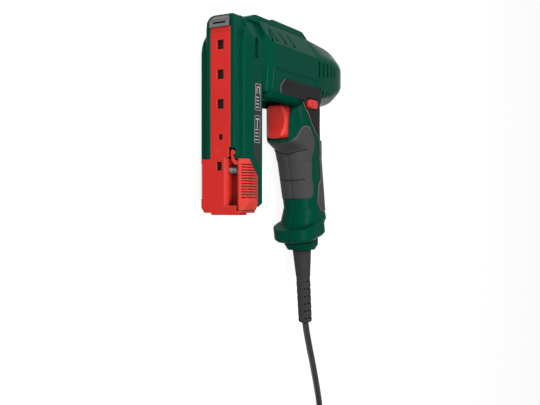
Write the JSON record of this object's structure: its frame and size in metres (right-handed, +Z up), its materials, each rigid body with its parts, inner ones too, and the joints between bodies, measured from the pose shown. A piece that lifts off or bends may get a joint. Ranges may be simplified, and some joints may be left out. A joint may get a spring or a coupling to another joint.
{
  "type": "electric staple gun",
  "caption": "Corded electric staple gun with a front magazine that pulls down, a pistol handle with soft grips, a coiled cord and a two-pin plug.",
  "frame": {"origin": "centre of the tool's box in plan, without the free cord, on the surface it lies on", "axes": "+X from the working face towards the back, +Y from the cord end towards the top of the barrel, +Z up, towards the tool's left side"},
  "size_m": [0.2295, 0.4731, 0.052],
  "materials": {
    "green_plastic": "moulded, slightly glossy",
    "black_rubber": "soft grip",
    "red_plastic": "moulded",
    "steel": "plated sheet and wire",
    "spring_steel": "drawn wire",
    "black_plastic": "moulded",
    "copper": "enamelled winding",
    "board": "circuit board",
    "screw_steel": "zinc plated",
    "cord_rubber": "cord sheath"
  },
  "bodies": {
    "housing": {"left_housing": "green_plastic", "right_housing": "green_plastic", "left_side_pad": "black_rubber", "right_side_pad": "black_rubber", "left_front_grip": "black_rubber", "right_front_grip": "black_rubber", "left_rear_grip": "black_rubber", "right_rear_grip": "black_rubber", "housing_screws": "screw_steel", "nose_plate": "steel", "staple_channel": "steel", "solenoid_yoke": "steel", "solenoid_bobbin": "black_plastic", "solenoid_winding": "copper", "return_spring": "spring_steel", "plunger_bumper": "black_rubber", "trigger_spring": "spring_steel", "trigger_switch": "black_plastic", "power_switch_body": "black_plastic", "circuit_board": "board", "cord_clamp": "black_plastic", "strain_relief": "black_rubber", "power_cord": "cord_rubber", "cord_coil": "cord_rubber", "cord_tie": "black_plastic", "plug_lead": "cord_rubber", "plug_body": "cord_rubber", "plug_pins": "steel"},
    "trigger": {"trigger": "red_plastic"},
    "power_switch": {"power_switch_button": "red_plastic"},
    "magazine": {"magazine_slide": "red_plastic", "magazine_rail": "steel", "guide_rod": "steel", "latch_pin": "steel", "pusher_spring": "spring_steel", "latch_spring": "spring_steel"},
    "pusher": {"pusher": "steel"},
    "latch": {"latch_lever": "red_plastic"},
    "striker": {"plunger": "steel", "driver_blade": "spring_steel"}
  },
  "joints": [
    {"name": "trigger_pull", "type": "slide", "parent": "housing", "child": "trigger", "axis": [1, 0, 0], "range_m": [0, 0.006], "stiffness_N_per_m": 800, "springref_m": -0.004, "deforming": ["trigger_spring"]},
    {"name": "power_switch_slide", "type": "slide", "parent": "housing", "child": "power_switch", "axis": [-1, 0, 0], "range_m": [0, 0.004]},
    {"name": "magazine_pull", "type": "slide", "parent": "housing", "child": "magazine", "axis": [0, -1, 0], "range_m": [0, 0.09]},
    {"name": "pusher_travel", "type": "slide", "parent": "magazine", "child": "pusher", "axis": [0, -1, 0], "range_m": [0, 0.08], "stiffness_N_per_m": 60, "springref_m": -0.05, "deforming": ["pusher_spring"]},
    {"name": "latch_squeeze", "type": "hinge", "parent": "magazine", "child": "latch", "pos_m": [-0.0834, -0.0236, 0.0426], "axis": [-1, 0, 0], "range_deg": [0, 2.5], "stiffness_Nm_per_rad": 0.5, "springref_deg": -5.73, "deforming": ["latch_spring"]},
    {"name": "striker_stroke", "type": "slide", "parent": "housing", "child": "striker", "axis": [-1, 0, 0], "range_m": [0, 0.017], "stiffness_N_per_m": 300, "springref_m": -0.01, "deforming": ["return_spring"]}
  ]
}
